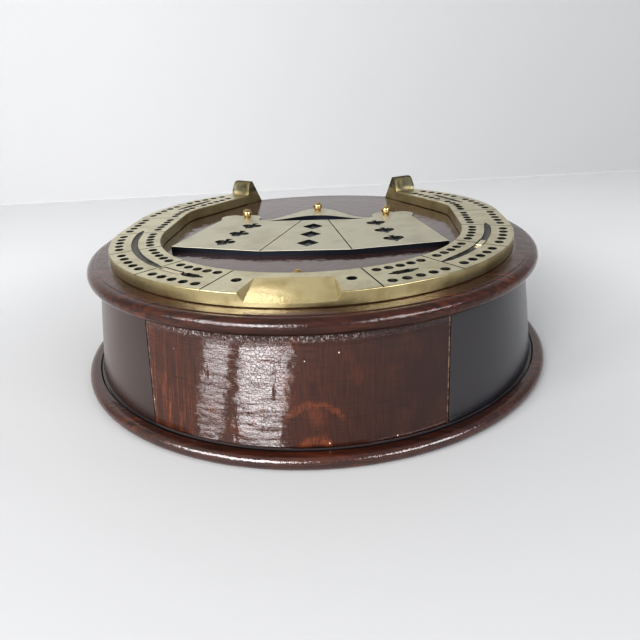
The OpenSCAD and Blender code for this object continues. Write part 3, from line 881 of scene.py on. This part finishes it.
def make_calkin():
    """Raised heel on the right side, cut off round at the board's edge, its edges softened."""
    run, back, width = heel_frame()
    crown_from, crown_to = 3.4, 4.8
    profile = [(-0.6, 0.02), (CALKIN_RUN, 0.02), (crown_to, SHOE_T + CALKIN_H)]
    profile += [(crown_from * (1 - math.cos(math.pi / 2 * k / 10)),
                 SHOE_T + CALKIN_H * math.sin(math.pi / 2 * k / 10) ** 2) for k in range(10, -1, -1)]
    profile += [(-0.6, SHOE_T - 0.05)]
    rings = [[(HEEL_IN[0] + run.x * at + back.x * v, HEEL_IN[1] + run.y * at + back.y * v, DECK + w)
              for v, w in profile] for at in (0.0, width)]
    calkin = as_object("calkin", loft(rings), shoe_brass)
    limit = lathe([(CALKIN_MAX_R, DECK - 1), (CALKIN_MAX_R, shoe_hi.z + 1)], 360)
    boolean(calkin, limit, "INTERSECT", shoe_brass)
    soft = calkin.modifiers.new("soft", "BEVEL")
    soft.width = 0.45
    soft.segments = 3
    soft.limit_method = "ANGLE"
    soft.angle_limit = math.radians(35)
    apply_modifiers(calkin)
    bm = bmesh.new()
    bm.from_mesh(calkin.data)
    bpy.data.objects.remove(calkin)
    return bm


def scoop():
    """Cutter of the hollow in the calkin's front face."""
    run, back, width = heel_frame()
    centre = Vector(HEEL_IN) + run * (0.52 * width) + back * 0.5
    bm = bmesh.new()
    bmesh.ops.create_uvsphere(bm, u_segments=40, v_segments=24, radius=1)
    shape = Matrix.Translation((centre.x, centre.y, SHOE_TOP + 4.0))
    shape = shape @ Matrix.Rotation(math.atan2(run.y, run.x), 4, "Z")
    shape = shape @ Matrix.Rotation(math.radians(-16), 4, "X")
    shape = shape @ Matrix.Diagonal((5.8, 1.4, 5.2, 1))
    bmesh.ops.transform(bm, matrix=shape, verts=bm.verts)
    return bm


def toe_cutter():
    """Wedge that files the toe down to its front edge, with leaning side facets."""
    y_in, y_out, front_t = -74.0, SHOE_Y - SHOE_OUT, 1.7
    half_in, half_out, high = 14, 18, SHOE_TOP + 1.5
    lean = math.tan(math.radians(35))
    rings = []
    for y in (y_in, y_out - 4):
        reach = (y_in - y) / (y_in - y_out)
        half = half_in + (half_out - half_in) * reach
        low = SHOE_TOP - (SHOE_T - front_t) * reach
        foot, mouth = half - (SHOE_TOP - low) * lean, half + (high - SHOE_TOP) * lean
        rings.append([(-mouth, y, high), (-foot, y, low), (foot, y, low), (mouth, y, high)])
    return loft(rings)


def make_horseshoe():
    """The shoe with its calkins, filed toe, creases, nail sockets, lines and peg holes."""
    piece = as_object("brass_horseshoe", slab(shoe_outline(), DECK, SHOE_TOP, 0.45, 0.4), shoe_brass)
    calkin = make_calkin()
    boolean(piece, join([flipped(calkin), calkin]), "UNION", shoe_brass)
    hollow = scoop()
    boolean(piece, join([flipped(hollow), hollow]), "DIFFERENCE", shoe_brass)
    boolean(piece, toe_cutter(), "DIFFERENCE", filed_brass)

    rear = [tuple(REAR_CREASE[0].lerp(REAR_CREASE[1], k / 8)) for k in range(9)]
    creases = [groove(crease_path(start, end), 1.4, 1.0, SHOE_TOP, 8.0) for start, end in CREASES]
    creases += [groove(path, 1.3, 0.8, SHOE_TOP, 8.0) for path in (rear, [(-x, y) for x, y in rear])]
    boolean(piece, join(creases), "DIFFERENCE", crease_brass)
    pits = [groove(crease_path(side * TOE_PIT[0], side * TOE_PIT[1]), 1.3, 1.1, SHOE_TOP, 4.5)
            for side in (-1, 1)]
    boolean(piece, join(pits), "DIFFERENCE", grimy_brass)

    sockets = [slab(nail_outline(turn, length, 0.42), SHOE_TOP - 2.5, SHOE_TOP + 0.5)
               for turn, length in NAILS]
    boolean(piece, join(sockets), "DIFFERENCE", grimy_brass)

    lines = []
    for group in range(GROUPS):
        p, q = in_hole(group, -LINE_BEFORE), out_hole(group, -LINE_BEFORE)
        for side in (-1, 1):
            lines.append(engraved((side * p[0], p[1]), (side * q[0], q[1]), 7.2, 0.28, 0.35, SHOE_TOP))
    boolean(piece, join(lines), "DIFFERENCE", grimy_brass)

    holes = []
    for side in (-1, 1):
        for group in range(GROUPS):
            for i in range(HOLES):
                for p in (in_hole(group, i), out_hole(group, i)):
                    holes.append(drill((side * p[0], p[1]), SHOE_TOP))
        turn = math.radians(GAME_HOLE_TURN)
        game_hole = (side * CREASE_R * math.sin(turn), -CREASE_R * math.cos(turn))
        holes.append(drill(game_hole, SHOE_TOP, radius=1.75))
    boolean(piece, join(holes), "DIFFERENCE", grimy_brass)
    return finish_piece(piece, "case", "shoe_brass", "horseshoe", weld=0.025)


def make_nails():
    """Two nails lie flush and bright in the creases, two are driven deep and dark near the toe."""
    nails = as_object("brass_nails", join([
        slab(nail_outline(turn, length), SHOE_TOP - 2.4, SHOE_TOP - 0.05, 0.2)
        for turn, length in NAILS if abs(turn) > DEEP_NAIL_TURN]), nail_brass)
    nails.data.materials.append(grimy_brass)
    deep = join([slab(nail_outline(turn, length), SHOE_TOP - 2.4, SHOE_TOP - 0.7, 0.2)
                 for turn, length in NAILS if abs(turn) < DEEP_NAIL_TURN])
    boolean(nails, deep, "UNION", grimy_brass)
    return finish_piece(nails, "case", "shoe_brass", "shoe_nails")


# ---------------------------------------------------------------- card plate and pips

PLATE_Y = -31
SLOT_Y = PLATE_Y + 53
SLOT_HALF, SLOT_RISE = 27, 10
BACK_RISE, BACK_RIM = 24.5, 2.5
SIDE_SHIFT, SIDE_Y, CARD_TURN = 40, -26, 14
CARD_W, CARD_LEN = 42.2, 54
PIP_W, PIP_START, PIP_PITCH = 9.8, 10.6, 14.7
PIP_SINK = 0.8


def bell(x, half):
    return (1 + math.cos(math.pi * x / half)) / 2


def bell_points(y, rise, steps=27):
    """Right half of a bell curve, from its foot to its peak."""
    return [(SLOT_HALF * (1 - k / steps), y + rise * bell(SLOT_HALF * (1 - k / steps), SLOT_HALF))
            for k in range(1, steps + 1)]


def plate_outline():
    c, s = math.cos(math.radians(CARD_TURN)), math.sin(math.radians(CARD_TURN))
    inner = (SIDE_SHIFT - CARD_W / 2 * c, SIDE_Y - CARD_W / 2 * s)
    outer = (SIDE_SHIFT + CARD_W / 2 * c, SIDE_Y + CARD_W / 2 * s)
    side = (-s * CARD_LEN * 0.92, c * CARD_LEN * 0.92)
    half = [inner, outer, (outer[0] + side[0], outer[1] + side[1])]
    half += arc((44, 31.5), 5.6, -15, 136, 20)
    half += arc((35.6, 30), 7, 51, 205, 24)
    half += [(SLOT_HALF, SLOT_Y + BACK_RIM)] + bell_points(SLOT_Y + BACK_RIM, BACK_RISE)
    return mirrored(half)


def slot_outline():
    return mirrored([(SLOT_HALF, SLOT_Y)] + bell_points(SLOT_Y, SLOT_RISE))


def club():
    lobes = arc((0.25, 0), 0.24, -130, 94, 20) + arc((0, 0.3), 0.24, -14, 90, 12)
    return mirrored([(0.16, -0.5), (0.07, -0.18)] + lobes)


def spade():
    return mirrored([(0.15, -0.5)] + arc((0.23, -0.08), 0.24, -135, 35, 18) + [(0.10, 0.36), (0, 0.56)])


def diamond():
    return [(-0.5, 0), (0, -0.56), (0.5, 0), (0, 0.56)]


def pips(shape, place, turn):
    """Outlines of a card's three pips, their points towards the toe."""
    size = [(x * PIP_W, y * PIP_W) for x, y in shape]
    rows = []
    for k in range(3):
        moved = [(-x, -y + PIP_START + PIP_PITCH * k) for x, y in size]
        rows.append(turned(moved, turn, place))
    return rows


CARDS = {
    "club_pips": pips(club(), (-SIDE_SHIFT, SIDE_Y), -CARD_TURN),
    "diamond_pips": pips(diamond(), (0, PLATE_Y), 0),
    "spade_pips": pips(spade(), (SIDE_SHIFT, SIDE_Y), CARD_TURN),
}


def make_plate():
    """The fan of cards, cut for the slot, the seams, the sunk pips and the pegs."""
    piece = as_object("brass_cards", slab(plate_outline(), DECK, PLATE_TOP, 0.3), plate_brass)
    boolean(piece, slab(slot_outline(), DECK - 1, PLATE_TOP + 1), "DIFFERENCE", plate_brass)
    seams = [engraved((side * 19.5, PLATE_Y - 1), (side * 6.4, SLOT_Y + 1), 1, 0.24, 0.3, PLATE_TOP)
             for side in (-1, 1)]
    boolean(piece, join(seams), "DIFFERENCE", grimy_brass)
    sunk = [slab(outline, DECK - 1, PLATE_TOP + 1) for rows in CARDS.values() for outline in rows]
    boolean(piece, join(sunk), "DIFFERENCE", grimy_brass)
    bores = []
    for node in ("peg_left", "peg_middle", "peg_right"):
        bores.append(lathe([(BORE_R, DECK - 1), (BORE_R, PLATE_TOP - 0.2), (1.8, PLATE_TOP + 0.1)],
                           32, middle(node)))
    boolean(piece, join(bores), "DIFFERENCE", plate_brass)
    return finish_piece(piece, "case", "plate_brass", "card_plate")


def make_pips():
    for node, rows in CARDS.items():
        fills = [slab(inset(outline, 0.02), DECK + 0.02, PLATE_TOP - PIP_SINK, 0.12)
                 for outline in rows]
        finish_piece(as_object(node + "_enamel", join(fills), enamel), "case", "pip_black", node)


# ---------------------------------------------------------------- pegs

def make_pegs():
    for node, body in PEG_BODIES.items():
        lo, hi = mm_box(node)
        ball = (hi.x - lo.x) / 2
        centre = hi.z - ball
        profile = [(0.9, lo.z), (1.3, lo.z + 0.35), (1.45, lo.z + 1.0), (1.45, centre - ball - 0.02),
                   (1.55, centre - ball * 0.93)]
        profile += [(ball * math.cos(t), centre + ball * math.sin(t))
                    for t in (math.radians(a) for a in range(-45, 90, 9))]
        profile += [(ball * 0.04, centre + ball)]
        piece = as_object(node + "_turned", lathe(profile, 48, middle(node)), peg_brass)
        finish_piece(piece, body, "peg_brass", node, crease=50)


make_base()
make_top()
make_drum_wall()
make_drawer_face()
make_horseshoe()
make_nails()
make_plate()
make_pips()
make_pegs()


# ---------------------------------------------------------------- carried-over CAD nodes

def dress(node, material):
    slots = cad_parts[node].data.materials
    slots.clear()
    slots.append(material)


for node, axis in (("left_guide", 1), ("right_guide", 1), ("drawer_stop", 0), ("drawer_left_side", 1),
                   ("drawer_right_side", 1), ("drawer_back", 0), ("drawer_bottom", 0)):
    dress(node, plain_wood_material(node + "_wood", axis))
for node in ("drawer_screws", "horseshoe_screws", "card_plate_screws", "base_screws"):
    dress(node, steel)


# ---------------------------------------------------------------- studio

def paper_material():
    s = Shader("paper")
    x, y, z = s.split(s.place)
    fine = s.noise(s.place, 0.8, 2.0)
    # painted light: the floor grows brighter towards the back and the wall darker towards the right
    floor = s.ramp(y, -110.0, 160.0, 0.495, 0.70)
    wall = s.ramp(x, -300.0, 300.0, 0.515, 0.45)
    shade = s.mix(s.ramp(z, 0.05, 0.4), s.combine(floor, floor, floor), s.combine(wall, wall, wall))
    shade = s.vector("MULTIPLY", shade, (1.0, 0.994, 0.982))
    return s.set(Base_Color=shade, Roughness=0.7, Normal=s.bump(fine, 0.05, 0.05))


def make_backdrop():
    """A pale sheet: the floor, a tight bend and a wall behind, the wall turned a little to the left."""
    wall_y, bend, far, skew = 0.42, 0.0006, 2.5, 0.14
    profile = [(-far, 0.0), (-0.6, 0.0), (wall_y - bend - 0.003, 0.0)]
    profile += [(wall_y - bend + bend * math.sin(t), bend - bend * math.cos(t))
                for t in (math.pi / 2 * k / 12 for k in range(13))]
    profile += [(wall_y, bend + 0.003), (wall_y, 1.6)]
    bm = bmesh.new()
    rows = [[bm.verts.new((x, y + (skew * x if y > -0.5 else 0), z)) for y, z in profile]
            for x in (-far, far)]
    for i in range(len(profile) - 1):
        bm.faces.new((rows[0][i], rows[1][i], rows[1][i + 1], rows[0][i + 1]))
    sheet = as_object("paper_sweep", bm, paper_material())
    sheet.data.shade_smooth()


def area_light(name, azimuth, elevation, distance, width, height, radiance, tint=(1, 1, 1)):
    """A rectangular soft light aimed at the object; azimuth 0 is in front, positive to the right."""
    a, e = math.radians(azimuth), math.radians(elevation)
    back = Vector((math.sin(a) * math.cos(e), -math.cos(a) * math.cos(e), math.sin(e)))
    data = bpy.data.lights.new(name, "AREA")
    data.shape = "RECTANGLE"
    data.size, data.size_y = width, height
    data.energy = radiance * math.pi * width * height
    data.color = tint
    light = bpy.data.objects.new(name, data)
    light.location = back * distance + Vector((0, 0, 0.04))
    light.rotation_mode = "QUATERNION"
    light.rotation_quaternion = back.to_track_quat("Z", "Y")
    light.visible_camera = False
    bpy.context.scene.collection.objects.link(light)


def make_world():
    """A dim even room, darker and cooler towards the right."""
    world = bpy.data.worlds.new("room")
    world.use_nodes = True
    nodes, links = world.node_tree.nodes, world.node_tree.links
    side = nodes.new("ShaderNodeSeparateXYZ")
    links.new(nodes.new("ShaderNodeTexCoord").outputs["Generated"], side.inputs[0])
    fade = nodes.new("ShaderNodeMapRange")
    fade.interpolation_type = "SMOOTHSTEP"
    for socket, value in zip(fade.inputs[1:5], (-0.7, 0.9, 0.0, 1.0)):
        socket.default_value = value
    links.new(side.outputs[0], fade.inputs[0])
    tint = nodes.new("ShaderNodeMix")
    tint.data_type = "RGBA"
    tint.inputs[6].default_value = (1.0, 0.985, 0.96, 1)
    tint.inputs[7].default_value = (0.52, 0.585, 0.70, 1)
    links.new(fade.outputs[0], tint.inputs["Factor"])
    background = nodes["Background"]
    links.new(tint.outputs[2], background.inputs["Color"])
    background.inputs["Strength"].default_value = 0.56
    bpy.context.scene.world = world


def make_camera():
    """Stands in front and a little to the right, looking down on the board."""
    place = Vector((24.0, -262.7, 122.3)) * MM
    turn, down, roll = 0.083, 0.403, -0.044
    ahead = Vector((-math.sin(turn) * math.cos(down), math.cos(turn) * math.cos(down), -math.sin(down)))
    level = ahead.cross(Vector((0, 0, 1))).normalized()
    lift = level.cross(ahead)
    right = level * math.cos(roll) + lift * math.sin(roll)
    up = lift * math.cos(roll) - level * math.sin(roll)
    data = bpy.data.cameras.new("camera")
    data.lens = 32.46
    data.sensor_width = 36
    camera = bpy.data.objects.new("camera", data)
    camera.matrix_world = Matrix.Translation(place) @ Matrix((right, up, -ahead)).transposed().to_4x4()
    bpy.context.scene.collection.objects.link(camera)
    bpy.context.scene.camera = camera


make_backdrop()
make_world()
area_light("window_left_pane", -48.5, 24, 0.95, 0.24, 0.34, 10.5, (0.99, 0.99, 1.0))
area_light("window_main_pane", -22.5, 24, 0.95, 0.41, 0.34, 14.5, (0.97, 0.975, 1.0))
area_light("window_right", 48, 24, 0.95, 0.62, 0.24, 8.0)
area_light("ceiling", 199, 47, 0.62, 0.07, 0.07, 4.2)
make_camera()
bpy.context.scene.view_settings.view_transform = "Standard"
bpy.context.scene.view_settings.look = "High Contrast"
